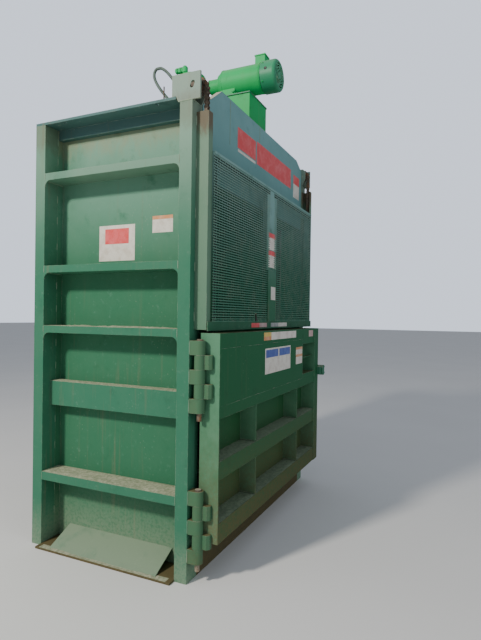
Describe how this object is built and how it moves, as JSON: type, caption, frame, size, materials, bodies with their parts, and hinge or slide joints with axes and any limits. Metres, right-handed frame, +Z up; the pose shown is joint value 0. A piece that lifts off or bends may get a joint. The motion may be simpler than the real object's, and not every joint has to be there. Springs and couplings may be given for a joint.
{
  "type": "vertical recycling baler",
  "caption": "Vertical baler with a ribbed steel chamber, hinged pocketed door, counterweighted mesh gate, overhead hydraulic ram and a motor unit on its roof.",
  "frame": {"origin": "centre of the footprint over the four corner posts, on the ground", "axes": "+X to the right seen from the front, +Y to the back, +Z up; the door and the gate face -Y"},
  "size_m": [2.1334, 1.274, 3.2659],
  "materials": {
    "frame_paint": "weathered dark green paint",
    "sheet_paint": "dusty green paint",
    "post_paint": "sun-faded green paint with dust",
    "panel_paint": "blue-green paint",
    "door_paint": "weathered green paint",
    "bracket_paint": "faded grey-green paint",
    "unit_paint": "bright green paint",
    "black_paint": "black paint",
    "bare_steel": "worn steel",
    "ram_chrome": "hard chrome",
    "rusty_chain": "rusty",
    "cast_weight": "rusty casting",
    "hose_rubber": "dull dark rubber",
    "black_plastic": "matt",
    "green_button": "gloss",
    "red_button": "gloss"
  },
  "bodies": {
    "frame": {"base_plate": "frame_paint", "chamber_floor": "frame_paint", "left_front_post": "post_paint", "right_front_post": "post_paint", "left_rear_post": "post_paint", "right_rear_post": "post_paint", "left_side_sheet": "sheet_paint", "right_side_sheet": "sheet_paint", "left_ribs": "post_paint", "right_ribs": "post_paint", "left_toe_plate": "post_paint", "right_toe_plate": "post_paint", "rear_sheet": "sheet_paint", "rear_ribs": "post_paint", "roof_plate": "frame_paint", "upper_front_panel": "panel_paint", "wall_bars": "bare_steel", "left_gate_guide": "post_paint", "right_gate_guide": "post_paint", "left_sheave_bracket": "bracket_paint", "right_sheave_bracket": "bracket_paint", "left_chain_wrap": "rusty_chain", "right_chain_wrap": "rusty_chain", "left_chain_run": "rusty_chain", "right_chain_run": "rusty_chain", "frame_knuckles": "post_paint", "hinge_pins": "bare_steel", "latch_bracket": "post_paint", "ram_barrel": "unit_paint", "oil_tank": "unit_paint", "tank_lid": "unit_paint", "motor_body": "unit_paint", "fan_cover": "unit_paint", "bell_housing": "unit_paint", "junction_box": "unit_paint", "valve_block": "bare_steel", "hydraulic_hose": "hose_rubber", "control_box": "frame_paint"},
    "gate": {"gate_frame": "frame_paint", "gate_mesh": "frame_paint"},
    "hook": {"gate_hook": "black_paint"},
    "left_wheel": {"left_sheave": "rusty_chain"},
    "right_wheel": {"right_sheave": "rusty_chain"},
    "left_weight": {"left_counterweight": "cast_weight"},
    "right_weight": {"right_counterweight": "cast_weight"},
    "door": {"door_frame": "door_paint", "door_cover": "door_paint", "door_liner": "bare_steel", "door_hinge_arms": "post_paint", "latch_boss": "post_paint"},
    "bolt": {"latch_bolt": "bare_steel"},
    "nut": {"latch_nut": "rusty_chain"},
    "press": {"platen": "door_paint", "ram_rod": "ram_chrome"},
    "bale_ejector": {"ejector": "bare_steel"},
    "fan": {"motor_fan": "black_plastic"},
    "lid": {"control_lid": "frame_paint"},
    "start": {"start_button": "green_button"},
    "stop": {"stop_button": "red_button"},
    "mode": {"mode_switch": "black_plastic"}
  },
  "joints": [
    {"name": "gate_lift", "type": "slide", "parent": "frame", "child": "gate", "axis": [0, 0, 1], "range_m": [0, 0.66], "deforming": ["left_chain_run", "right_chain_run"]},
    {"name": "hook_swing", "type": "hinge", "parent": "gate", "child": "hook", "pos_m": [-0.29, -0.6275, 1.397], "axis": [0, 1, 0], "range_deg": [-60, 60]},
    {"name": "left_sheave_turn", "type": "hinge", "parent": "frame", "child": "left_wheel", "pos_m": [-0.895, -0.5395, 2.578], "axis": [-1, 0, 0], "range_deg": [0, 780]},
    {"name": "right_sheave_turn", "type": "hinge", "parent": "frame", "child": "right_wheel", "pos_m": [0.895, -0.5395, 2.578], "axis": [-1, 0, 0], "range_deg": [0, 780]},
    {"name": "left_weight_drop", "type": "slide", "parent": "frame", "child": "left_weight", "axis": [0, 0, -1], "range_m": [0, 0.6605]},
    {"name": "right_weight_drop", "type": "slide", "parent": "frame", "child": "right_weight", "axis": [0, 0, -1], "range_m": [0, 0.6605]},
    {"name": "door_swing", "type": "hinge", "parent": "frame", "child": "door", "pos_m": [-0.934, -0.5875, 0.7], "axis": [0, 0, -1], "range_deg": [0, 130]},
    {"name": "latch_swing", "type": "hinge", "parent": "frame", "child": "bolt", "pos_m": [0.997, -0.4915, 0.945], "axis": [0, 0, -1], "range_deg": [0, 180]},
    {"name": "latch_nut_turn", "type": "hinge", "parent": "bolt", "child": "nut", "pos_m": [0.997, -0.2265, 0.945], "axis": [0, 1, 0], "continuous": true},
    {"name": "platen_press", "type": "slide", "parent": "frame", "child": "press", "axis": [0, 0, -1], "range_m": [0, 0.74]},
    {"name": "ejector_tip", "type": "hinge", "parent": "frame", "child": "bale_ejector", "pos_m": [0, -0.4665, 0.2154], "axis": [1, 0, 0], "range_deg": [0, 70]},
    {"name": "fan_spin", "type": "hinge", "parent": "frame", "child": "fan", "pos_m": [0.088, -0.5415, 3.074], "axis": [0, 1, 0], "continuous": true},
    {"name": "lid_swing", "type": "hinge", "parent": "frame", "child": "lid", "pos_m": [1.0854, -0.2005, 1.58], "axis": [0, 0, 1], "range_deg": [0, 120]},
    {"name": "start_press", "type": "slide", "parent": "lid", "child": "start", "axis": [-1, 0, 0], "range_m": [0, 0.004], "stiffness_N_per_m": 600},
    {"name": "stop_press", "type": "slide", "parent": "lid", "child": "stop", "axis": [-1, 0, 0], "range_m": [0, 0.006], "stiffness_N_per_m": 600},
    {"name": "mode_turn", "type": "hinge", "parent": "lid", "child": "mode", "pos_m": [1.1034, -0.3705, 1.59], "axis": [1, 0, 0], "range_deg": [-45, 45]}
  ],
  "couplings": [
    {"joint": "left_sheave_turn", "follows": "gate_lift", "rad_per_m": 20.614},
    {"joint": "right_sheave_turn", "follows": "gate_lift", "rad_per_m": 20.614},
    {"joint": "left_weight_drop", "follows": "gate_lift", "ratio": 1},
    {"joint": "right_weight_drop", "follows": "gate_lift", "ratio": 1}
  ]
}
